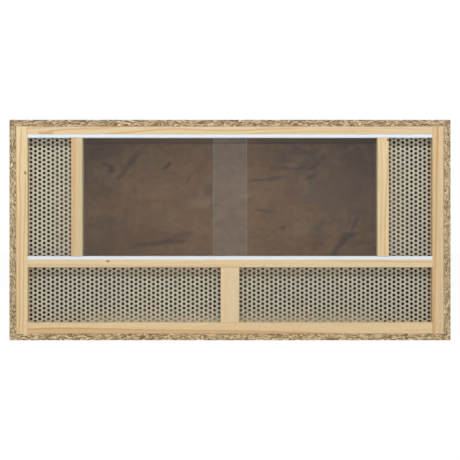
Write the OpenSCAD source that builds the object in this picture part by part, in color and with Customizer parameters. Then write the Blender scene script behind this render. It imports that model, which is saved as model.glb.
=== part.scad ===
// Reptile terrarium: a case of strand board with a pine front frame. Two panes of glass slide
// in twin-channel tracks across the upper front, between two inner posts that are rebated
// over the tracks. Perforated sheets ventilate the front beside the panes and below them.
// Millimetres, +Z up, the front faces -Y. The origin is the centre of the underside.

/* [Case] */
// Outer width of the case, side to side
case_w = 1000; // [800:10:1200]
// Outer depth of the case, front to back
case_d = 500; // [300:10:700]
// Outer height of the case
case_h = 500; // [420:10:700]
// Thickness of every strand board
board_t = 15; // [12:1:22]

/* [Pine frame] */
// Width of the stiles and of the inner posts, seen from the front
batten_w = 26; // [20:1:40]
// Depth of every member of the frame
batten_d = 26; // [25:1:40]
// Height of the bottom rail
bottom_rail_h = 25; // [18:1:40]
// Height of the top rail and of the middle rail
rail_h = 18; // [16:1:30]
// Width of the centre post between the lower sheets
centre_post_w = 42; // [24:1:60]
// Clear height of the lower sheets, between the bottom rail and the middle rail
lower_vent_h = 125; // [60:5:180]
// Clear width of each upper sheet, between its stile and its inner post
side_vent_w = 98.5; // [50:0.5:140]
// Arris planed off the long edges of the pine
arris = 1; // [0.5:0.1:1.5]

/* [Sliding glass] */
// Thickness of the panes
glass_t = 4; // [3:0.5:6]
// How far the two panes overlap at the centre when closed
glass_overlap = 76; // [20:1:120]
// Gap between each closed pane and its inner post
pane_gap = 0.5; // [0.2:0.1:2]
// Arris ground on every edge of the panes
glass_arris = 0.5; // [0.2:0.1:1]

/* [Tracks] */
// Thickness of the walls of the tracks
track_wall = 2; // [1.2:0.1:3]
// Height of both tracks
track_h = 7.5; // [6.5:0.1:12]
// Solid height under the panes in the lower track
track_floor = 4; // [3:0.1:5]
// Solid height over the panes in the upper track
track_web = 1.2; // [0.8:0.1:2]
// Bevel on the lips of the tracks
track_bevel = 0.4; // [0.2:0.1:0.6]
// How far the tracks stand back from the front of the frame
track_setback = 1; // [0:0.5:3]
// Play on each side of a pane in its channel
glass_play = 0.3; // [0.2:0.1:0.6]
// Height left when a pane is lifted clear of the lower track
lift_play = 0.3; // [0.2:0.1:1]

/* [Perforated sheets] */
// Thickness of the steel sheets
sheet_t = 1; // [0.5:0.1:1.5]
// Diameter of the holes
hole_d = 6; // [3:0.5:7]
// Distance between the columns of holes, and between the holes in a column
hole_pitch = 10; // [9:0.5:16]
// Height of the pattern's lowest row over the underside of the case, in the lower sheets
lower_row_start = 1.3; // [0:0.1:9]
// The same height in the upper sheets
upper_row_start = 0.2; // [0:0.1:9]
// Least metal left between a hole and the edge of its sheet
sheet_land = 1.5; // [1:0.1:4]
// Depth of the saw cuts that hold the sheets
groove_depth = 6; // [3:0.5:7]
// Pine left in front of the saw cuts in the tongues of the inner posts
groove_cheek = 4; // [3:0.1:5]
// Play on each side of a sheet in its saw cuts
groove_play = 0.15; // [0.1:0.05:0.3]
// Space left at the ends and the top of each sheet in its saw cuts
sheet_play = 0.5; // [0.2:0.1:1]

/* [Screws] */
// Number of screws through the top or the bottom into each side
side_screws = 4; // [2:1:8]
// Number of screws through the top or the bottom into the back
back_screws = 4; // [2:1:10]
// Distance of the outer screws from the ends of the board that they hold
screw_inset = 50; // [30:1:100]
// Diameter of the shanks
screw_d = 4; // [3:0.5:5]
// Diameter of the countersunk heads
screw_head_d = 8; // [6:0.5:9]
// Length of the screws, head included
screw_l = 35; // [30:1:60]
// Depth of the heads below the face of the board
screw_sink = 0.4; // [0.2:0.1:1]
// Play around the screws in their holes
screw_play = 0.1; // [0.05:0.05:0.3]

/* [Hidden] */
round_fn = 32;
front = -case_d / 2;
inner_w = case_w - 2 * board_t;
inner_top = case_h - board_t;

// Tracks, from the front of the frame backwards
channel_w = glass_t + 2 * glass_play;
track_d = 3 * track_wall + 2 * channel_w;
tongue_setback = track_setback + track_d + 0.3;

// Frame members
stile_in = inner_w / 2 - batten_w;
post_out = stile_in - side_vent_w;
post_in = post_out - batten_w;
bottom_rail_top = board_t + bottom_rail_h;
middle_rail_z = bottom_rail_top + lower_vent_h;
middle_rail_top = middle_rail_z + rail_h;
top_rail_z = inner_top - rail_h;

// Panes
pane_z = middle_rail_top + track_floor;
pane_top = top_rail_z - track_web - (track_h - track_floor) - lift_play;
pane_out = post_in - pane_gap;
pane_in = glass_overlap / 2;

// Saw cuts and the sheets in them
sheet_setback = tongue_setback + groove_cheek;
groove_w = sheet_t + 2 * groove_play;
sheet_grip = groove_depth - sheet_play;
frame_d = max(batten_d, sheet_setback + sheet_t + groove_play + 3);

// Screws
head_h = (screw_head_d - screw_d) / 2;
pilot_depth = screw_l + screw_sink - board_t + 2;

// Outline of a w by h bar with its corners cut by c
function bevelled(w, h, c) =
  [[c, 0], [w - c, 0], [w, c], [w, h - c], [w - c, h], [c, h], [0, h - c], [0, c]];

// n places spread evenly from a to b
function spread(a, b, n) = [for (i = [0:n - 1]) a + (b - a) * i / (n - 1)];

// Centres of the screws, looking down on the top
side_screw_y = spread(front + screw_inset, -front - board_t - screw_inset, side_screws);
back_screw_x = spread(screw_inset - inner_w / 2, inner_w / 2 - screw_inset, back_screws);
screw_spots = concat(
  [for (s = [-1, 1]) for (y = side_screw_y) [s * (case_w - board_t) / 2, y]],
  [for (x = back_screw_x) [x, (case_d - board_t) / 2]]);

// A bar along X or along Z that fills the box from its lowest corner
module bar_x(size, c) {
  rotate([90, 0, 90]) linear_extrude(size.x) polygon(bevelled(size.y, size.z, c));
}
module bar_z(size, c) {
  linear_extrude(size.z) polygon(bevelled(size.x, size.y, c));
}

// Rounded countersunk screw, its head's face at the origin and its point downwards
module screw() {
  difference() {
    rotate_extrude($fn = round_fn) polygon([[0, 0], [screw_head_d / 2, 0],
      [screw_head_d / 2, -0.4], [screw_d / 2, -0.4 - head_h],
      [screw_d / 2, screw_d - screw_l], [0, -screw_l]]);
    for (a = [0, 90])
      rotate(a) translate([-screw_head_d / 4, -0.5, -1.4]) cube([screw_head_d / 2, 1, 3]);
  }
}

// Hole that the screw passes through in a board, its face at the origin
module countersink() {
  translate([0, 0, -screw_sink]) rotate_extrude($fn = round_fn) polygon([[0, 2],
    [screw_head_d / 2 + screw_play, 2], [screw_head_d / 2 + screw_play, -0.4],
    [screw_d / 2 + screw_play, -0.4 - head_h], [screw_d / 2 + screw_play, -board_t - 1],
    [0, -board_t - 1]]);
}

// Horizontal board with its screw holes, its screwed face up
module screwed_board() {
  difference() {
    translate([-case_w / 2, front, -board_t]) cube([case_w, case_d, board_t]);
    for (p = screw_spots) translate([p.x, p.y, 0]) countersink();
  }
}

// Pilot holes in the upper and lower edges of the upright boards
module pilots() {
  for (p = screw_spots) translate([p.x, p.y, 0]) {
    translate([0, 0, board_t - 1])
      cylinder(h = pilot_depth + 1, d = screw_d + 2 * screw_play, $fn = round_fn);
    translate([0, 0, inner_top - pilot_depth])
      cylinder(h = pilot_depth + 1, d = screw_d + 2 * screw_play, $fn = round_fn);
  }
}

module upright_board(x, y, w, d) {
  difference() {
    translate([x, y, board_t]) cube([w, d, case_h - 2 * board_t]);
    pilots();
  }
}

module bottom_panel() { color([0.67, 0.56, 0.42]) mirror([0, 0, 1]) screwed_board(); }
module top_panel() { color([0.67, 0.56, 0.42]) translate([0, 0, case_h]) screwed_board(); }
module left_panel() { color([0.70, 0.60, 0.47]) upright_board(-case_w / 2, front, board_t, case_d); }
module right_panel() { color([0.70, 0.60, 0.47]) upright_board(inner_w / 2, front, board_t, case_d); }
module back_panel() {
  color([0.62, 0.50, 0.36]) upright_board(-inner_w / 2, -front - board_t, inner_w, board_t);
}

// Saw cut for a sheet: across = [from, to] along X, up = [from, to] along Z
module saw_cut(across, up) {
  translate([across[0], front + sheet_setback - groove_play, up[0]])
    cube([across[1] - across[0], groove_w, up[1] - up[0]]);
}

// Stile on the left; the right one is its mirror image
module stile() {
  difference() {
    translate([-inner_w / 2, front, board_t])
      bar_z([batten_w, frame_d, case_h - 2 * board_t], arris);
    saw_cut([-stile_in - groove_depth, -stile_in + 1], [0, case_h]);
  }
}
module left_stile() { color([0.87, 0.77, 0.60]) stile(); }
module right_stile() { color([0.87, 0.77, 0.60]) mirror([1, 0, 0]) stile(); }

module bottom_rail() {
  color([0.84, 0.73, 0.56]) difference() {
    translate([-stile_in, front, board_t]) bar_x([2 * stile_in, frame_d, bottom_rail_h], arris);
    saw_cut([-stile_in - 1, stile_in + 1], [bottom_rail_top - groove_depth, bottom_rail_top + 1]);
  }
}

// Saw cuts of the upper sheets in the rails, from the stiles into the inner posts
module upper_cuts(up) {
  for (s = [0, 1]) mirror([s, 0, 0]) saw_cut([-stile_in - 1, -post_out + groove_depth], up);
}

module middle_rail() {
  color([0.85, 0.75, 0.59]) difference() {
    translate([-stile_in, front, middle_rail_z]) bar_x([2 * stile_in, frame_d, rail_h], arris);
    saw_cut([-stile_in - 1, stile_in + 1], [middle_rail_z - 1, middle_rail_z + groove_depth]);
    upper_cuts([middle_rail_top - groove_depth, middle_rail_top + 1]);
  }
}

module top_rail() {
  color([0.86, 0.76, 0.60]) difference() {
    translate([-stile_in, front, top_rail_z]) bar_x([2 * stile_in, frame_d, rail_h], arris);
    upper_cuts([top_rail_z - 1, top_rail_z + groove_depth]);
  }
}

module centre_post() {
  color([0.85, 0.76, 0.61]) difference() {
    translate([-centre_post_w / 2, front, bottom_rail_top])
      bar_z([centre_post_w, frame_d, lower_vent_h], arris);
    for (s = [0, 1]) mirror([s, 0, 0])
      saw_cut([centre_post_w / 2 - groove_depth, centre_post_w], [0, case_h]);
  }
}

// Inner post on the left, flush with the front of the frame; the right one is its mirror image.
// Its ends are rebated over the tracks, and the tongues behind the tracks reach the rails.
module inner_post() {
  difference() {
    translate([-post_out, front, middle_rail_top])
      bar_z([batten_w, frame_d, top_rail_z - middle_rail_top], arris);
    saw_cut([-post_out - 1, -post_out + groove_depth], [0, case_h]);
    for (z = [middle_rail_top - 1, top_rail_z - track_h])
      translate([-post_out - 1, front - 1, z]) cube([batten_w + 2, tongue_setback + 1, track_h + 1]);
  }
}
module left_post() { color([0.82, 0.72, 0.56]) inner_post(); }
module right_post() { color([0.82, 0.72, 0.56]) mirror([1, 0, 0]) inner_post(); }

// Section of a track with its channels open upwards: a base and three bevelled walls
module track_section(base) {
  square([track_d, base]);
  for (i = [0:2]) translate([i * (track_wall + channel_w), 0]) polygon([[0, 0],
    [track_wall, 0], [track_wall, track_h - track_bevel],
    [track_wall - track_bevel, track_h], [track_bevel, track_h], [0, track_h - track_bevel]]);
}

// Track between the stiles, its base on the origin's level
module track(base) {
  translate([-stile_in, front + track_setback, 0])
    rotate([90, 0, 90]) linear_extrude(2 * stile_in) track_section(base);
}
module lower_track() {
  color([0.91, 0.93, 0.95]) translate([0, 0, middle_rail_top]) track(track_floor);
}
module upper_track() {
  color([0.87, 0.90, 0.94]) translate([0, 0, top_rail_z]) mirror([0, 0, 1]) track(track_web);
}

// Pane with a ground arris on every edge, from x to x + w in channel 0 or 1
module pane(x, channel) {
  w = pane_out + pane_in;
  h = pane_top - pane_z;
  y = front + track_setback + track_wall + glass_play + channel * (track_wall + channel_w);
  translate([x, y, pane_z]) intersection() {
    bar_z([w, glass_t, h], glass_arris);
    bar_x([w, glass_t, h], glass_arris);
    translate([0, glass_t, 0]) rotate([90, 0, 0])
      linear_extrude(glass_t) polygon(bevelled(w, h, glass_arris));
  }
}
module left_glass_door() { color([0.60, 0.75, 0.72, 0.35]) pane(-pane_out, 0); }
module right_glass_door() { color([0.60, 0.75, 0.72, 0.35]) pane(-pane_in, 1); }

// Perforated sheet. The pattern is one grid for both sides: columns at half pitches from the
// centre line, every other column half a pitch higher, and only whole holes.
module sheet(x0, x1, z0, z1, row_start) {
  edge = hole_d / 2 + sheet_land;
  k0 = ceil((x0 + edge) / hole_pitch - 0.5);
  k1 = floor((x1 - edge) / hole_pitch - 0.5);
  translate([0, front + sheet_setback + sheet_t, 0]) rotate([90, 0, 0])
    linear_extrude(sheet_t) difference() {
      translate([x0, z0]) square([x1 - x0, z1 - z0]);
      for (k = [k0:k1]) {
        rise = row_start + (k % 2 == 0 ? hole_pitch / 2 : 0);
        for (j = [ceil((z0 + edge - rise) / hole_pitch):floor((z1 - edge - rise) / hole_pitch)])
          translate([(k + 0.5) * hole_pitch, rise + j * hole_pitch]) circle(d = hole_d, $fn = round_fn);
      }
    }
}
module upper_sheet(side) {
  reach = [post_out - sheet_grip, stile_in + sheet_grip];
  sheet(side > 0 ? reach[0] : -reach[1], side > 0 ? reach[1] : -reach[0],
    middle_rail_top - groove_depth, top_rail_z + sheet_grip, upper_row_start);
}
module lower_sheet(side) {
  reach = [centre_post_w / 2 - sheet_grip, stile_in + sheet_grip];
  sheet(side > 0 ? reach[0] : -reach[1], side > 0 ? reach[1] : -reach[0],
    bottom_rail_top - groove_depth, middle_rail_z + sheet_grip, lower_row_start);
}
module upper_left_sheet() { color([0.68, 0.67, 0.61]) upper_sheet(-1); }
module upper_right_sheet() { color([0.68, 0.67, 0.61]) upper_sheet(1); }
module lower_left_sheet() { color([0.68, 0.67, 0.61]) lower_sheet(-1); }
module lower_right_sheet() { color([0.68, 0.67, 0.61]) lower_sheet(1); }

module screws() {
  for (p = screw_spots) translate([p.x, p.y, -screw_sink]) screw();
}
module top_screws() { color([0.80, 0.74, 0.50]) translate([0, 0, case_h]) screws(); }
module bottom_screws() { color([0.80, 0.74, 0.50]) mirror([0, 0, 1]) screws(); }

bottom_panel();
top_panel();
left_panel();
right_panel();
back_panel();
left_stile();
right_stile();
bottom_rail();
middle_rail();
top_rail();
centre_post();
left_post();
right_post();
lower_track();
upper_track();
left_glass_door();
right_glass_door();
upper_left_sheet();
upper_right_sheet();
lower_left_sheet();
lower_right_sheet();
top_screws();
bottom_screws();
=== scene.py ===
import math

import bpy
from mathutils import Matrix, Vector


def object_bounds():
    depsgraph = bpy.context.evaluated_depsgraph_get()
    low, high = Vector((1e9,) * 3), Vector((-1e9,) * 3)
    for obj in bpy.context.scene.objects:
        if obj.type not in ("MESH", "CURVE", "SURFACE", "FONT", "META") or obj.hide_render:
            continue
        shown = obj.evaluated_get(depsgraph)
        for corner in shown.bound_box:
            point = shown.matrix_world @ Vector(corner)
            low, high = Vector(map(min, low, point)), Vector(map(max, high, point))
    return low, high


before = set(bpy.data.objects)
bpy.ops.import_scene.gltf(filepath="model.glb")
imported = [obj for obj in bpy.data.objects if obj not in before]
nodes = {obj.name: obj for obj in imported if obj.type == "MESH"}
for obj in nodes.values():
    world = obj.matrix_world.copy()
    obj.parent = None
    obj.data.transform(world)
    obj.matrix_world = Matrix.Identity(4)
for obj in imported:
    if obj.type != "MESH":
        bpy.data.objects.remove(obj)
cad_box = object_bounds()
scene = bpy.context.scene

FRONT = cad_box[0][1]
CASE_CENTRE = (0, 0, 0.25)
WHITE = (1.0, 1.0, 1.0, 1)


class Nodes:
    """A node tree under construction: each call adds a node and returns its output socket."""

    def __init__(self, tree):
        self.tree = tree

    def node(self, kind, **settings):
        node = self.tree.nodes.new(kind)
        for key, value in settings.items():
            setattr(node, key, value)
        return node

    def put(self, socket, value):
        if isinstance(value, bpy.types.NodeSocket):
            self.tree.links.new(value, socket)
        else:
            socket.default_value = value

    def fill(self, node, values):
        """Puts the values into the node's first inputs and returns its first output."""
        for socket, value in zip(node.inputs, values):
            self.put(socket, value)
        return node.outputs[0]

    def math(self, operation, a, b=0.0):
        return self.fill(self.node("ShaderNodeMath", operation=operation), (a, b))

    def plus(self, a, b):
        return self.math("ADD", a, b)

    def minus(self, a, b):
        return self.math("SUBTRACT", a, b)

    def times(self, a, b):
        return self.math("MULTIPLY", a, b)

    def length(self, a, b):
        """The long side of a right triangle with the short sides a and b."""
        return self.math("SQRT", self.plus(self.times(a, a), self.times(b, b)))

    def vector(self, operation, a, b=(0, 0, 0)):
        node = self.node("ShaderNodeVectorMath", operation=operation)
        self.fill(node, (a, b))
        return node.outputs["Value" if operation in ("LENGTH", "DOT_PRODUCT") else "Vector"]

    def split(self, vector):
        node = self.node("ShaderNodeSeparateXYZ")
        self.put(node.inputs[0], vector)
        return tuple(node.outputs)

    def join(self, x, y, z):
        return self.fill(self.node("ShaderNodeCombineXYZ"), (x, y, z))

    def stretch(self, axes, scales):
        """The coordinates in axes, each times its own scale."""
        return self.join(*(self.times(axis, scale) for axis, scale in zip(axes, scales)))

    def turn(self, vector, at=(0, 0, 0), angle=0.0, size=(1, 1, 1)):
        """The vector from at, turned back by angle about Z, measured in units of size."""
        node = self.node("ShaderNodeMapping", vector_type="TEXTURE")
        return self.fill(node, (vector, at, (0, 0, angle), size))

    def noise(self, vector, scale=1.0, detail=2.0, rough=0.5, distort=0.0):
        node = self.node("ShaderNodeTexNoise")
        for key, value in (("Vector", vector), ("Scale", scale), ("Detail", detail),
                           ("Roughness", rough), ("Distortion", distort)):
            self.put(node.inputs[key], value)
        return node.outputs[0]

    def cells(self, vector):
        """Voronoi cells of size 1: distance from the cell's centre and two random numbers."""
        node = self.node("ShaderNodeTexVoronoi")
        self.put(node.inputs["Vector"], vector)
        node.inputs["Scale"].default_value = 1.0
        node.inputs["Randomness"].default_value = 1.0
        tone, pick, _ = self.split(node.outputs["Color"])
        return node.outputs["Distance"], tone, pick

    def range(self, value, low, high, to_low=0.0, to_high=1.0, kind="SMOOTHSTEP"):
        node = self.node("ShaderNodeMapRange", interpolation_type=kind)
        return self.fill(node, (value, low, high, to_low, to_high))

    def mix(self, factor, a, b, blend="MIX"):
        node = self.node("ShaderNodeMix", data_type="RGBA", blend_type=blend)
        self.put(node.inputs[0], factor)
        # The colours come after the inputs for numbers and vectors, which have the same names
        for socket, value in zip(node.inputs[6:8], (a, b)):
            self.put(socket, value if isinstance(value, bpy.types.NodeSocket) else (*value, 1))
        return node.outputs[2]

    def ramp(self, value, *stops):
        node = self.node("ShaderNodeValToRGB")
        self.put(node.inputs[0], value)
        bar = node.color_ramp.elements
        while len(bar) < len(stops):
            bar.new(1.0)
        for element, (at, colour) in zip(bar, stops):
            element.position = at
            element.color = (*colour, 1)
        return node.outputs[0]

    def curve(self, value, points):
        """A smooth line through the (value, result) points: how far along it, and the result."""
        node = self.node("ShaderNodeFloatCurve")
        results = [result for _, result in points]
        margin = 0.001
        low, high = min(results) - margin, max(results) + margin
        first, last = points[0][0], points[-1][0]
        spots = [((at - first) / (last - first), (result - low) / (high - low))
                 for at, result in points]
        line = node.mapping.curves[0]
        line.points[0].location, line.points[1].location = spots[0], spots[-1]
        for spot in spots[1:-1]:
            line.points.new(*spot)
        node.mapping.update()
        share = self.range(value, first, last, kind="LINEAR")
        self.put(node.inputs["Value"], share)
        scaled = self.node("ShaderNodeMath", operation="MULTIPLY_ADD")
        return share, self.fill(scaled, (node.outputs[0], high - low, low))

    def bump(self, height, distance, strength=1.0, below=None):
        node = self.node("ShaderNodeBump")
        node.inputs["Strength"].default_value = strength
        node.inputs["Distance"].default_value = distance
        self.put(node.inputs["Height"], height)
        if below is not None:
            self.put(node.inputs["Normal"], below)
        return node.outputs[0]

    def blend(self, factor, a, b):
        """A mix of two shaders."""
        return self.fill(self.node("ShaderNodeMixShader"), (factor, a, b))


class Material(Nodes):
    """A material with its coordinates in the shared frame and its principled shader."""

    def __init__(self, name):
        self.material = bpy.data.materials.new(name)
        self.material.use_nodes = True
        super().__init__(self.material.node_tree)
        self.surface = self.tree.nodes["Principled BSDF"]
        coordinates = self.node("ShaderNodeTexCoord").outputs
        self.object, self.normal = coordinates["Object"], coordinates["Normal"]

    def finish(self, colour, rough, normal=None, **constants):
        self.put(self.surface.inputs["Base Color"], colour)
        self.put(self.surface.inputs["Roughness"], rough)
        if normal is not None:
            self.put(self.surface.inputs["Normal"], normal)
        for key, value in constants.items():
            self.surface.inputs[key.replace("_", " ")].default_value = value
        return self.material

    def show(self, shader):
        self.put(self.tree.nodes["Material Output"].inputs["Surface"], shader)
        return self.material


def dress(name, material):
    for slot in nodes[name].material_slots:
        slot.material = material


# Layers of strands on a board: angle, length, width and the share of the face that they cover
STRANDS = ((0.2, 0.100, 0.020, 1.0), (-0.9, 0.080, 0.017, 0.50), (1.2, 0.075, 0.015, 0.42),
           (-0.15, 0.110, 0.018, 0.45), (0.5, 0.060, 0.010, 0.22))
STRAND_THICKNESS = 0.004
# Each layer, and each board, takes its strands from another place
LAYER_SHIFT, BOARD_SHIFT, EDGE_SHIFT = (0.113, 0.071, 0.0007), 0.37, 0.11
FIBRE_STRETCH = (1.6, 11.0, 3.0)
STRAND_TONES = ((0.05, (0.31, 0.190, 0.085)), (0.28, (0.49, 0.335, 0.165)),
                (0.55, (0.63, 0.465, 0.255)), (0.90, (0.79, 0.640, 0.400)))
STRAND_RIM, BROWN_CLOUD = (0.20, 0.115, 0.050), (0.36, 0.24, 0.125)
# Chips in the cut edges: sizes along, across and through the board, and colours
LARGE_CHIP, SMALL_CHIP = (0.0068, 0.0068, 0.0023), (0.0038, 0.0038, 0.0016)
SMALL_CHIP_SHIFT, GAP_SIZE = (0.003, 0, 0.0004), (0.0050, 0.0050, 0.0022)
CHIP_TONES = ((0.18, (0.120, 0.072, 0.033)), (0.38, (0.29, 0.195, 0.100)),
              (0.58, (0.49, 0.355, 0.198)), (0.82, (0.84, 0.685, 0.450)))
GAP_TONE, PALE_PATCH = (0.075, 0.042, 0.018), (0.56, 0.43, 0.26)
LAYER_WAVE = 0.007
# The squareness of a face to its board above which it is flat, and below which it is a cut edge
FLAT, CUT = 0.9, 0.4
STRAND_BEND, PAINTED_BAND_BEND, STAIN_BEND = 0.003, 0.010, 1.9
# The inside coat of the side boards, made dark as painted shade
PAINTED_SHADE_SIDE_COAT = ((0.20, 0.116, 0.056), (0.155, 0.089, 0.043))


def strands(s, place, seed):
    """Strands that lie over each other: their colour and their height."""
    colour = height = None
    for i, (angle, length, width, share) in enumerate(STRANDS):
        shift = [i * step for step in LAYER_SHIFT]
        shift[0] += seed * BOARD_SHIFT
        local = s.turn(place, shift, angle, (length, width, STRAND_THICKNESS))
        away, tone, pick = s.cells(local)
        streak = s.noise(s.vector("MULTIPLY", local, FIBRE_STRETCH), 1.0, 2.0, 0.6)
        flake = s.ramp(s.plus(s.times(tone, 0.72), s.times(streak, 0.28)), *STRAND_TONES)
        flake = s.mix(s.range(away, 0.46, 0.80, to_high=0.55), flake, STRAND_RIM)
        raised = s.plus(s.times(tone, 0.6), 0.25 * i)
        if colour is None:
            colour, height = flake, raised
        else:
            shown = s.math("LESS_THAN", pick, share)
            colour = s.mix(shown, colour, flake)
            height = s.plus(s.times(height, s.minus(1.0, shown)), s.times(raised, shown))
    return colour, height


def cut_edge(s, axes, seed, fleck, painted_shading):
    """Ends of strands in thin, wavy layers with small gaps between them, and their height."""
    u, v, w = axes
    sway = s.noise(s.stretch(axes, (55.0, 55.0, 90.0)), 1.0, 1.0)
    layer = s.plus(w, s.times(s.minus(sway, 0.5), LAYER_WAVE))
    place = s.turn(s.join(s.plus(u, seed * EDGE_SHIFT), v, layer), size=(fleck, fleck, fleck))
    _, large, _ = s.cells(s.turn(place, size=LARGE_CHIP))
    _, small, _ = s.cells(s.turn(place, SMALL_CHIP_SHIFT, size=SMALL_CHIP))
    chips = s.plus(s.times(large, 0.58), s.times(small, 0.42))
    colour = s.ramp(chips, *CHIP_TONES)
    gaps = s.noise(s.turn(place, size=GAP_SIZE), 1.0, 1.0)
    colour = s.mix(s.range(gaps, 0.60, 0.72, to_high=0.85), colour, GAP_TONE)
    pale = s.noise(place, 38.0, 1.0)
    colour = s.mix(s.range(pale, 0.30, 0.62, 0.30, 0.0), colour, PALE_PATCH)
    # The multiply gives the cut edges a warm tint and, below 1, a painted shade
    return s.mix(1.0, colour, (painted_shading, painted_shading * 0.985, painted_shading * 0.97), "MULTIPLY"), chips


def strand_board(name, order, seed, stains=(), painted_bands=(), coat=0.88, fleck=1.0, painted_shading=1.0,
                 tones=PAINTED_SHADE_SIDE_COAT):
    """Strand board. order names the axes along the strands, across them and through the board.
    coat is how much the sealed inside hides, tones are its two colours, fleck is the size of
    the chips in the cut edges, and a painted shade below 1 darkens them. A stain has its (x, z)
    centre, half sizes, angle, strength and colour, and a band of painted light or shade the
    heights where it is full and where it ends, its strength and its colour."""
    s = Material(name)
    axes = s.split(s.object)
    u, v, w = (axes["xyz".index(axis)] for axis in order)
    flat = s.math("ABSOLUTE", s.split(s.normal)["xyz".index(order[2])])
    edge = s.range(flat, FLAT, CUT)
    outward = s.vector("DOT_PRODUCT", s.normal, s.vector("SUBTRACT", s.object, CASE_CENTRE))
    inner = s.times(s.math("LESS_THAN", edge, 0.5), s.math("LESS_THAN", outward, 0.0))

    place = s.join(u, v, w)
    wander = s.minus(s.noise(place, 25.0, 2.0), 0.5)
    bend = s.join(s.times(wander, STRAND_BEND), s.times(wander, -STRAND_BEND), 0.0)
    place = s.vector("ADD", place, bend)
    colour, height = strands(s, place, seed)
    cloud = s.noise(place, 5.0, 3.0)
    colour = s.mix(s.range(cloud, 0.3, 0.7, to_high=0.16), colour, BROWN_CLOUD)

    # The sealed inner faces have a coat, with the strands showing through faintly
    sealed = s.mix(s.range(cloud, 0.3, 0.7), *tones)
    mottle = s.noise(place, 75.0, 3.0, 0.6)
    spots = [0.55 * c for c in tones[1]]
    sealed = s.mix(s.range(mottle, 0.40, 0.68, to_high=0.38), sealed, spots)
    for (x, z), size, angle, strength, tint in stains:
        local = s.turn(s.join(axes[0], axes[2], 0.0), (x, z, 0), angle, (*size, 1))
        near = s.plus(s.vector("LENGTH", local), s.times(wander, STAIN_BEND))
        sealed = s.mix(s.range(near, 1.0, 0.3, to_high=strength), sealed, tint)
    # Bands of painted light or shade across the board, with wavy edges
    for full, end, strength, tint in painted_bands:
        level = s.plus(axes[2], s.times(wander, PAINTED_BAND_BEND))
        sealed = s.mix(s.range(level, end, full, to_high=strength), sealed, tint)
    colour = s.mix(s.times(inner, coat), colour, sealed)

    cut, chips = cut_edge(s, (u, v, w), seed, fleck, painted_shading)
    colour = s.mix(edge, colour, cut)
    fine = s.noise(place, 1500.0, 2.0, 0.7)
    relief = s.plus(s.times(height, s.minus(1.0, edge)), s.times(chips, s.times(edge, 1.6)))
    normal = s.bump(fine, 0.0002, 0.5, s.bump(relief, 0.0006, 0.8))
    rough = s.plus(s.range(fine, 0.3, 0.7, 0.55, 0.74), s.times(inner, -0.08))
    return s.finish(colour, rough, normal, Specular_IOR_Level=0.35)


LATE_WOOD, STREAK_TONE = (0.54, 0.345, 0.165), (0.57, 0.325, 0.135)
WARM_WOOD, FIBRE_TONE, RESIN_TONE = (0.66, 0.485, 0.262), (0.48, 0.30, 0.145), (0.36, 0.19, 0.075)
KNOT_TONES = ((0.200, 0.105, 0.042), (0.33, 0.185, 0.080))
PINE_LIGHT = (0.745, 0.600, 0.357)
KNOT_LENGTH = 1.5
RIPPLE = 0.0022
# Scales of the noises along and across the fibres, in waves per metre
WAVES, FIBRES, STRIPES, RESIN = ((11.0, 25.0, 25.0), (18.0, 1100.0, 1100.0),
                                 (2.0, 55.0, 55.0), (45.0, 700.0, 700.0))


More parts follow.
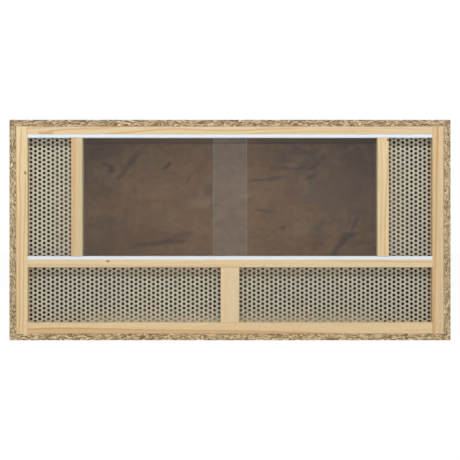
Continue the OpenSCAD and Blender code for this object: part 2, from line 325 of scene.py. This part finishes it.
def pine(name, along, pith, seed, ring=0.0065, slope=0.02, dark=0.35, sway=0.04,
         light=PINE_LIGHT, knots=(), streaks=()):
    """Planed pine: growth rings round a pith beside the batten, fibres along it and small knots.
    ring is the width of the rings, slope and sway say how they run across the batten, and dark
    is their strength. A knot has its centre and radius. Each streak is a darker line on the
    front through (along, across) points, with its half width, its strength, and the side and
    strength of a tint beside it."""
    s = Material(name)
    order = along + "xyz".replace(along, "")
    axes = s.split(s.object)
    l, a, b = (axes["xyz".index(axis)] for axis in order)
    bend = s.noise(s.join(s.times(l, 2.6), s.times(a, 4.0), seed * 3.1), 1.0, 2.0)
    wave = s.noise(s.stretch((l, a, b), WAVES), 1.0, 2.0)
    drift = s.plus(s.times(s.minus(bend, 0.5), sway),
                   s.plus(s.times(s.minus(wave, 0.5), 0.003), s.times(l, slope)))
    radius = s.length(s.plus(s.minus(a, pith[0]), drift),
                      s.plus(s.minus(b, pith[1]), s.times(drift, 0.6)))
    mark = None
    for centre, size in knots:
        extent = [size * (KNOT_LENGTH if axis == along else 1.0) for axis in "xyz"]
        near = s.vector("LENGTH", s.turn(s.object, centre, size=extent))
        radius = s.plus(radius, s.range(near, 3.2, 0.0, to_high=size * 1.3))
        here = s.range(near, 1.25, 0.55)
        mark = here if mark is None else s.math("MAXIMUM", mark, here)
    pace = s.noise(s.join(s.times(radius, 40.0), seed, 0.0), 1.0, 1.0)
    count = s.plus(s.math("DIVIDE", radius, ring), s.times(pace, 3.0))
    phase = s.math("FRACT", count)
    late = s.times(s.range(phase, 0.30, 0.86), s.range(phase, 1.0, 0.90))
    force = s.noise(s.join(s.times(s.math("FLOOR", count), 1.7), seed * 5.0, s.times(l, 2.5)),
                    1.0, 1.0)
    late = s.times(late, s.range(force, 0.30, 0.70, 0.12, 1.0))
    colour = s.mix(s.times(late, dark), light, LATE_WOOD)

    across = axes[2] if along == "x" else axes[0]
    ripple = s.noise(s.join(s.times(l, 30.0), seed, 0.0), 1.0, 2.0)
    ripple = s.times(s.minus(ripple, 0.5), RIPPLE)
    fibre = s.noise(s.stretch((l, a, b), FIBRES), 1.0, 2.0, 0.6)
    for points, width, strength, side, beside in streaks:
        share, centre = s.curve(l, points)
        off = s.plus(s.minus(across, centre), ripple)
        fade = s.times(s.range(share, 0.0, 0.10), s.range(share, 1.0, 0.86))
        line = s.times(s.range(s.math("ABSOLUTE", off), width * 2.0, width * 0.3), fade)
        line = s.times(line, s.range(fibre, 0.25, 0.60, min(strength * 1.7, 1.0), strength * 1.3))
        if side:
            tint = s.range(s.times(off, side), 0.0, width * 0.8, to_high=beside)
            line = s.math("MAXIMUM", line, s.times(tint, fade))
        colour = s.mix(line, colour, STREAK_TONE)

    tone = s.noise(s.stretch((l, a, b), STRIPES), 1.0, 2.0)
    resin = s.noise(s.stretch((l, a, b), RESIN), 1.0, 0.0)
    colour = s.mix(s.range(tone, 0.35, 0.72, to_high=0.40), colour, WARM_WOOD)
    colour = s.mix(s.range(fibre, 0.35, 0.70, to_high=0.20), colour, FIBRE_TONE)
    colour = s.mix(s.range(resin, 0.72, 0.80, to_high=0.35), colour, RESIN_TONE)
    if mark is not None:
        eye = s.noise(s.object, 700.0, 2.0)
        knot = s.mix(s.range(eye, 0.35, 0.65), *KNOT_TONES)
        colour = s.mix(s.times(mark, 0.88), colour, knot)
    grain = s.plus(s.times(fibre, 0.5), s.times(late, 0.7))
    rough = s.range(fibre, 0.3, 0.7, 0.50, 0.64)
    return s.finish(colour, rough, s.bump(grain, 0.00018, 0.7), Specular_IOR_Level=0.4)


HOLE_PITCH = 0.010
# A whole number of pitches, which keeps the distances to the rows and columns above zero
POSITIVE = 2.0
RIM_INSIDE, RIM_OUTSIDE = 0.0031, 0.0037
# Painted shade: a dark ring round each hole and near-black hole walls
HOLE_SHADE_TONE, HOLE_WALL_SHADE_TONE = (0.045, 0.036, 0.024), (0.020, 0.016, 0.011)
CRYSTAL_SIZE, CRYSTAL_TURN, ROLLING_SIZE = (0.009, 0.007, 1.0), 0.4, (0.060, 0.0009, 1.0)
SHEET_TONES = ((0.2, (0.374, 0.356, 0.281)), (0.5, (0.459, 0.434, 0.343)),
               (0.8, (0.540, 0.511, 0.406)))


def perforated_steel(name, low_row, painted_shading):
    """Zinc coated sheet, with the rims of its holes rolled in by the punch, a painted shade in a
    ring round each hole and on the hole walls, and a painted brightness for the whole sheet,
    painted light above 1 and painted shade below 1. low_row is the height of a row of holes,
    and the columns between are staggered by half a pitch."""
    s = Material(name)
    x, _, z = s.split(s.object)
    half = HOLE_PITCH / 2
    hole_distance = None
    for off_x, off_z in ((half, low_row + half), (half + HOLE_PITCH, low_row)):
        dx = s.math("PINGPONG", s.plus(s.minus(x, off_x), POSITIVE), HOLE_PITCH)
        dz = s.math("PINGPONG", s.plus(s.minus(z, off_z), POSITIVE), half)
        away = s.length(dx, dz)
        hole_distance = away if hole_distance is None else s.math("MINIMUM", hole_distance, away)
    rim_and_shade = s.range(hole_distance, RIM_OUTSIDE, RIM_INSIDE)
    hole_wall_shade = s.range(s.math("ABSOLUTE", s.split(s.normal)[1]), 0.7, 0.4)
    flat = s.join(x, z, 0.0)
    _, tone, _ = s.cells(s.turn(flat, angle=CRYSTAL_TURN, size=CRYSTAL_SIZE))
    cloud = s.noise(flat, 9.0, 3.0)
    rolled = s.noise(s.turn(flat, size=ROLLING_SIZE), 1.0, 2.0)
    value = s.plus(s.times(tone, 0.30), s.plus(s.times(cloud, 0.45), s.times(rolled, 0.25)))
    # The sheet's colour is scaled by its painted brightness: painted light above 1, painted shade
    # below 1
    colour = s.ramp(value, *((at, [painted_shading * c for c in tint]) for at, tint in SHEET_TONES))
    # Painted shade: the ring round each hole and the hole walls are darkened; the ring also sinks
    # in the bump as the rolled rim
    colour = s.mix(s.times(rim_and_shade, 0.80), colour, HOLE_SHADE_TONE)
    colour = s.mix(hole_wall_shade, colour, HOLE_WALL_SHADE_TONE)
    normal = s.bump(s.minus(s.times(rolled, 0.15), rim_and_shade), 0.0004, 0.8)
    rough = s.range(value, 0.25, 0.75, 0.46, 0.60)
    return s.finish(colour, rough, normal, Metallic=0.35)


PLASTIC_TONES = ((0.705, 0.76, 0.825), (0.635, 0.685, 0.75))


def track_plastic(name):
    """Extruded plastic with faint lines along it and handling marks."""
    s = Material(name)
    axes = s.split(s.object)
    lines = s.noise(s.stretch(axes, (3.0, 1800.0, 1800.0)), 1.0, 1.0)
    marks = s.noise(s.stretch(axes, (40.0, 260.0, 260.0)), 1.0, 3.0, 0.65)
    colour = s.mix(s.range(marks, 0.40, 0.75, to_high=0.5), *PLASTIC_TONES)
    rough = s.range(marks, 0.3, 0.7, 0.30, 0.46)
    return s.finish(colour, rough, s.bump(lines, 0.00006, 0.6), Specular_IOR_Level=0.5)


CLEAR_TINT, SMEARED_TINT = (0.992, 0.994, 0.988), (0.95, 0.95, 0.945)
FILM_TONE, GLOSS_TINT = (0.62, 0.62, 0.60), (0.76, 0.85, 0.93, 1)
GROUND_TONES = ((0.3, (0.16, 0.32, 0.27)), (0.7, (0.30, 0.50, 0.43)))
# How much of the film and of the ground edge shows, and how strongly the faces reflect
FILM_COVER, EDGE_COVER, GLOSS_IOR, GLOSS_ROUGHNESS = 0.004, 0.72, 1.25, 0.015


def glass(name):
    """Float glass that shows what is behind it, with green, ground edges and a few smears."""
    s = Material(name)
    x, _, z = s.split(s.object)
    edge = s.range(s.math("ABSOLUTE", s.split(s.normal)[1]), 0.95, 0.75)
    smear = s.noise(s.join(s.times(x, 6.0), 0.0, s.times(z, 14.0)), 1.0, 4.0, 0.6, 0.8)
    dust = s.noise(s.join(s.times(x, 240.0), 0.0, s.times(z, 240.0)), 1.0, 2.0)
    film = s.plus(s.range(smear, 0.45, 0.80, to_high=0.7), s.range(dust, 0.62, 0.80, to_high=0.3))
    frost = s.noise(s.object, 2500.0, 2.0)
    body = s.mix(edge, FILM_TONE, s.ramp(frost, *GROUND_TONES))
    s.finish(body, s.range(frost, 0.3, 0.7, 0.35, 0.5))
    through = s.node("ShaderNodeBsdfTransparent")
    s.put(through.inputs["Color"], s.mix(film, CLEAR_TINT, SMEARED_TINT))
    gloss = s.node("ShaderNodeBsdfGlossy")
    gloss.inputs["Roughness"].default_value = GLOSS_ROUGHNESS
    gloss.inputs["Color"].default_value = GLOSS_TINT
    shine = s.node("ShaderNodeFresnel")
    shine.inputs["IOR"].default_value = GLOSS_IOR
    # Light and shadow pass straight through: only what is looked at gets the reflection
    ray = s.node("ShaderNodeLightPath").outputs
    passing = s.math("MAXIMUM", ray["Is Shadow Ray"], ray["Is Diffuse Ray"])
    clear = s.blend(s.times(shine.outputs[0], s.minus(1.0, passing)),
                    through.outputs[0], gloss.outputs[0])
    cover = s.plus(FILM_COVER, s.times(edge, EDGE_COVER))
    return s.show(s.blend(cover, clear, s.surface.outputs[0]))


ZINC_TONES, WORN_STEEL = ((0.66, 0.52, 0.22), (0.58, 0.50, 0.34)), (0.55, 0.54, 0.50)


def zinc(name):
    """Yellow passivated screws, worn on the head."""
    s = Material(name)
    worn = s.noise(s.object, 900.0, 3.0, 0.6)
    hue = s.noise(s.object, 260.0, 1.0)
    colour = s.mix(s.range(hue, 0.35, 0.65), *ZINC_TONES)
    colour = s.mix(s.range(worn, 0.55, 0.75), colour, WORN_STEEL)
    rough = s.range(worn, 0.3, 0.7, 0.26, 0.42)
    return s.finish(colour, rough, s.bump(worn, 0.00005, 0.5), Metallic=1.0)


# Boards
GREY, SLATE, SAND = (0.20, 0.135, 0.110), (0.060, 0.055, 0.075), (0.56, 0.385, 0.210)
UMBER, RUST, VIOLET = (0.140, 0.078, 0.042), (0.40, 0.165, 0.085), (0.17, 0.080, 0.055)
# Inside coats of one sealer at different brightness: the floor's made pale as painted light, the
# ceiling's made dark as painted shade
PAINTED_LIGHT_FLOOR_COAT = ((0.97, 0.76, 0.43), (0.90, 0.68, 0.37))
PAINTED_SHADE_CEILING_COAT = ((0.33, 0.188, 0.096), (0.27, 0.152, 0.078))
BACK_COAT = ((0.53, 0.308, 0.155), (0.435, 0.248, 0.123))
CEILING_STAINS = (((0.30, 0.485), (0.30, 0.20), 0.0, 0.65, (0.140, 0.085, 0.046)),)
BACK_STAINS = (
    # The right half is darker
    ((0.300, 0.375), (0.210, 0.150), 0.0, 0.54, GREY),
    # Marks in the left half
    ((-0.341, 0.468), (0.095, 0.045), 0.0, 0.45, GREY),
    ((-0.270, 0.437), (0.075, 0.013), 0.86, 0.62, VIOLET),
    ((-0.336, 0.427), (0.028, 0.011), -0.15, 0.62, (0.10, 0.070, 0.075)),
    ((-0.326, 0.413), (0.017, 0.014), 0.0, 0.72, SLATE),
    ((-0.341, 0.362), (0.034, 0.012), 0.0, 0.55, GREY),
    ((-0.262, 0.357), (0.032, 0.010), 1.5, 0.45, UMBER),
    ((-0.322, 0.275), (0.034, 0.020), 0.0, 0.45, GREY),
    ((-0.172, 0.425), (0.020, 0.005), 0.75, 0.85, UMBER),
    ((-0.147, 0.397), (0.020, 0.005), -0.85, 0.75, UMBER),
    ((-0.115, 0.389), (0.026, 0.005), 0.95, 0.55, UMBER),
    ((-0.063, 0.359), (0.020, 0.014), 1.5, 0.55, GREY),
    ((-0.082, 0.327), (0.040, 0.022), 0.2, 0.50, SAND),
    ((-0.218, 0.231), (0.095, 0.022), 0.1, 0.45, RUST),
    ((-0.191, 0.215), (0.090, 0.013), 0.12, 0.65, (0.16, 0.062, 0.052)),
    ((-0.136, 0.237), (0.038, 0.016), 0.2, 0.55, (0.17, 0.072, 0.060)),
    # Marks in the right half
    ((0.163, 0.455), (0.100, 0.032), 0.0, 0.50, GREY),
    ((0.163, 0.419), (0.090, 0.010), 0.05, 0.50, (0.12, 0.080, 0.078)),
    ((0.250, 0.449), (0.048, 0.013), 0.95, 0.42, (0.17, 0.085, 0.070)),
    ((0.103, 0.389), (0.055, 0.0055), 0.05, 0.60, UMBER),
    ((0.215, 0.393), (0.034, 0.008), 0.45, 0.85, UMBER),
    ((0.172, 0.337), (0.044, 0.020), 1.5, 0.50, RUST),
    ((0.218, 0.307), (0.044, 0.014), 0.0, 0.50, RUST),
    ((0.191, 0.256), (0.044, 0.040), 0.0, 0.45, SAND),
    ((0.103, 0.302), (0.055, 0.005), -0.12, 0.50, UMBER),
    ((0.144, 0.256), (0.018, 0.012), 0.6, 0.80, (0.12, 0.070, 0.065)),
    ((0.242, 0.228), (0.034, 0.034), 0.0, 0.50, GREY),
    ((0.253, 0.212), (0.015, 0.009), 0.2, 0.60, SLATE),
    ((0.332, 0.237), (0.034, 0.014), 0.1, 0.75, SLATE),
    ((0.340, 0.264), (0.028, 0.008), 1.05, 0.50, SLATE),
    ((0.297, 0.204), (0.040, 0.011), 0.95, 0.62, (0.11, 0.068, 0.080)),
    ((-0.036, 0.318), (0.011, 0.005), 0.0, 0.7, SLATE),
)
# Painted shade: below the panes the back is darker. Painted light: a band of the floor's pale coat
# colour runs up its foot
BACK_PAINTED_BANDS = ((0.105, 0.178, 0.86, (0.085, 0.046, 0.022)), (0.018, 0.038, 1.0, (0.97, 0.76, 0.42)))
BOARDS = {
    "bottom": dict(order="xyz", seed=1.0, coat=0.92, tones=PAINTED_LIGHT_FLOOR_COAT),
    # The top board's cut edges get a painted shade
    "top": dict(order="xyz", seed=2.0, painted_shading=0.88, tones=PAINTED_SHADE_CEILING_COAT, stains=CEILING_STAINS),
    "left": dict(order="zyx", seed=3.0, fleck=0.72),
    "right": dict(order="zyx", seed=4.0, fleck=0.72),
    "back": dict(order="xzy", seed=5.0, tones=BACK_COAT, stains=BACK_STAINS, painted_bands=BACK_PAINTED_BANDS),
}
for side, board in BOARDS.items():
    dress(side + "_panel", strand_board("board_" + side, **board))

# Pine frame
MEMBERS = {
    "left_stile": dict(
        along="z", pith=(-0.520, FRONT + 0.050), seed=1.0, slope=-0.03,
        light=(0.79, 0.630, 0.378), knots=[((-0.4640, FRONT, 0.3795), 0.0030)], streaks=[
            ([(0.500, -0.4730), (0.433, -0.4746), (0.380, -0.4773), (0.316, -0.4754),
              (0.240, -0.4758), (-0.03, -0.4784)], 0.0016, 0.50, 0, 0),
            ([(0.390, -0.4620), (0.350, -0.4636), (0.288, -0.4648), (0.235, -0.4671),
              (0.122, -0.4686), (-0.03, -0.4700)], 0.0014, 0.50, 0, 0),
            ([(0.390, -0.4860), (0.297, -0.4823), (0.184, -0.4792), (-0.03, -0.4795)],
             0.0013, 0.38, 0, 0)]),
    "right_stile": dict(
        along="z", pith=(0.420, FRONT + 0.055), seed=2.0, ring=0.011, slope=0.022, sway=0.012,
        light=(0.670, 0.518, 0.304), streaks=[
            ([(0.55, 0.4715), (0.486, 0.4707), (0.373, 0.4684), (0.221, 0.4661),
              (0.146, 0.4639), (-0.05, 0.4609)], 0.0022, 0.95, -1, 0.25),
            ([(0.34, 0.4850), (0.24, 0.4838), (0.10, 0.4840)], 0.0012, 0.35, 0, 0)]),
    "top_rail": dict(
        along="x", pith=(FRONT + 0.075, 0.540), seed=3.0, slope=-0.03, sway=0.05, dark=0.28,
        light=(0.710, 0.565, 0.338), streaks=[
            ([(-0.480, 0.4790), (-0.440, 0.4815), (-0.395, 0.4850)], 0.0012, 0.40, 0, 0),
            ([(-0.436, 0.4698), (-0.420, 0.4700), (-0.398, 0.4708)], 0.0028, 0.60, 0, 0),
            ([(-0.425, 0.4700), (-0.388, 0.4768), (-0.309, 0.4803), (-0.235, 0.4845)],
             0.0015, 0.55, 0, 0),
            ([(-0.300, 0.4675), (-0.215, 0.4727), (-0.177, 0.4762), (-0.120, 0.4790),
              (-0.082, 0.4775), (0.0, 0.4752), (0.068, 0.4777), (0.19, 0.4815)],
             0.0014, 0.60, 0, 0),
            ([(0.03, 0.4685), (0.151, 0.4723), (0.23, 0.4735), (0.36, 0.4750)],
             0.0012, 0.42, 0, 0),
            ([(0.18, 0.4800), (0.30, 0.4805), (0.46, 0.4785)], 0.0010, 0.30, 0, 0)]),
    "middle_rail": dict(
        along="x", pith=(FRONT + 0.060, 0.120), seed=4.0, dark=0.25, slope=0.008,
        light=(0.720, 0.565, 0.338),
        knots=[((-0.2770, FRONT, 0.1795), 0.0028), ((0.0770, FRONT, 0.1682), 0.0013)], streaks=[
            ([(-0.50, 0.1705), (-0.20, 0.1685), (0.05, 0.1670)], 0.0018, 0.25, 0, 0),
            ([(0.22, 0.1800), (0.34, 0.1790), (0.376, 0.1785), (0.48, 0.1760)],
             0.0012, 0.40, 0, 0)]),
    "bottom_rail": dict(
        along="x", pith=(FRONT + 0.045, -0.020), seed=5.0, ring=0.012, slope=0.014, sway=0.012,
        light=(0.730, 0.562, 0.325), streaks=[
            ([(-0.60, 0.0240), (-0.459, 0.0250), (-0.385, 0.0269), (-0.272, 0.0250),
              (-0.158, 0.0230), (0.0, 0.0210), (0.132, 0.0182), (0.30, 0.0140)],
             0.0018, 0.75, -1, 0.58)]),
    "centre_post": dict(
        along="z", pith=(0.060, FRONT + 0.060), seed=6.0, ring=0.009, dark=0.22,
        light=(0.715, 0.565, 0.350)),
    "left_post": dict(
        along="z", pith=(-0.420, FRONT + 0.040), seed=7.0, ring=0.010, slope=0.010, sway=0.015,
        dark=0.2, light=(0.605, 0.478, 0.283), streaks=[
            ([(0.50, -0.3530), (0.330, -0.3535), (0.15, -0.3570)], 0.0020, 0.55, -1, 0.50)]),
    "right_post": dict(
        along="z", pith=(0.430, FRONT + 0.045), seed=8.0, dark=0.28,
        light=(0.730, 0.582, 0.348), knots=[((0.3580, FRONT, 0.4545), 0.0030)], streaks=[
            ([(0.450, 0.3600), (0.400, 0.3580), (0.3265, 0.3540), (0.289, 0.3524),
              (0.15, 0.3500)], 0.0013, 0.50, 0, 0),
            ([(0.500, 0.3415), (0.400, 0.3440), (0.330, 0.3448), (0.260, 0.3430),
              (0.15, 0.3410)], 0.0011, 0.40, 0, 0)]),
}
for member, wood in MEMBERS.items():
    dress(member, pine("pine_" + member, **wood))

# Tracks, panes, sheets and screws
plastic, pane, screw = track_plastic("track_plastic"), glass("float_glass"), zinc("screw_zinc")
for name, material in (("lower_track", plastic), ("upper_track", plastic),
                       ("left_glass_door", pane), ("right_glass_door", pane),
                       ("top_screws", screw), ("bottom_screws", screw)):
    dress(name, material)
UPPER_ROW, LOWER_ROW = 0.0002, 0.0013
# Each sheet gets its own painted brightness: painted light on the upper left, painted shade on the
# right-hand sheets
for place, low_row, painted_shading in (("upper_left", UPPER_ROW, 1.04), ("upper_right", UPPER_ROW, 0.975),
                              ("lower_left", LOWER_ROW, 1.0), ("lower_right", LOWER_ROW, 0.955)):
    dress(place + "_sheet", perforated_steel("zinc_" + place, low_row, painted_shading))

# Studio floor of pale paper, which the camera sees nearly white
FLOOR_CORNERS = [(-9, -7, 0), (9, -7, 0), (9, 9, 0), (-9, 9, 0)]
PAPER_TONES = ((0.90, 0.90, 0.90), (0.93, 0.93, 0.93))
PAPER_GLOW, GLOW_SHARE, BACKDROP_GLOW = 1.08, 0.85, 1.05
floor_mesh = bpy.data.meshes.new("studio_floor")
floor_mesh.from_pydata(FLOOR_CORNERS, [], [(0, 1, 2, 3)])
floor = bpy.data.objects.new("studio_floor", floor_mesh)
scene.collection.objects.link(floor)
paper = Material("studio_paper")
grit = paper.noise(paper.object, 300.0, 2.0)
paper.finish(paper.mix(grit, *PAPER_TONES), 0.9, Specular_IOR_Level=0.1)
glow = paper.node("ShaderNodeEmission")
glow.inputs["Strength"].default_value = PAPER_GLOW
seen_by_camera = paper.node("ShaderNodeLightPath").outputs["Is Camera Ray"]
share = paper.times(seen_by_camera, GLOW_SHARE)
paper.show(paper.blend(share, paper.surface.outputs[0], glow.outputs[0]))
floor_mesh.materials.append(paper.material)

# Studio light: a low white screen in front and behind, weaker at the sides, and light from
# above, with nothing between them. The camera sees plain white.
scene.world = bpy.data.worlds.new("studio")
scene.world.use_nodes = True
sky = Nodes(scene.world.node_tree)
_, depth, height = sky.split(sky.node("ShaderNodeTexCoord").outputs["Generated"])
ends = sky.plus(sky.range(depth, -0.30, -0.90, 0.34, 1.0), sky.range(depth, 0.20, 0.80, 0.0, 0.90))
screen = sky.times(sky.range(height, 0.16, 0.30, 1.55, 0.0), ends)
above = sky.range(height, 0.60, 0.90, 0.05, 0.68)
light = sky.tree.nodes["Background"]
light.inputs["Color"].default_value = WHITE
sky.put(light.inputs["Strength"], sky.plus(screen, above))
backdrop = sky.node("ShaderNodeBackground")
backdrop.inputs["Color"].default_value = WHITE
backdrop.inputs["Strength"].default_value = BACKDROP_GLOW
seen_by_camera = sky.node("ShaderNodeLightPath").outputs["Is Camera Ray"]
sky.put(sky.tree.nodes["World Output"].inputs["Surface"],
        sky.blend(seen_by_camera, light.outputs[0], backdrop.outputs[0]))

# The key stands high in front, so that it reaches the floor of the case but not its back
KEY_PLACE, KEY_TARGET = Vector((0, FRONT - 2.40, 2.80)), Vector((0, FRONT, 0.32))
KEY_SIZE, KEY_WATTS = (0.35, 0.22), 72
key = bpy.data.lights.new("key", "AREA")
key.shape = "RECTANGLE"
key.size, key.size_y = KEY_SIZE
key.energy = KEY_WATTS
key_lamp = bpy.data.objects.new("key", key)
key_lamp.location = KEY_PLACE
key_lamp.rotation_euler = (KEY_TARGET - KEY_PLACE).to_track_quat("-Z", "Y").to_euler()
scene.collection.objects.link(key_lamp)

# The camera looks straight at the front, at half its height
CAMERA_DISTANCE, SENSOR_WIDTH, FOCAL_LENGTH = 2.33, 36, 80.44
camera = bpy.data.objects.new("camera", bpy.data.cameras.new("camera"))
camera.location = (0, FRONT - CAMERA_DISTANCE, CASE_CENTRE[2])
camera.rotation_euler = (math.pi / 2, 0, 0)
camera.data.sensor_width = SENSOR_WIDTH
camera.data.lens = FOCAL_LENGTH
scene.collection.objects.link(camera)
scene.camera = camera

scene.view_settings.view_transform = "Standard"
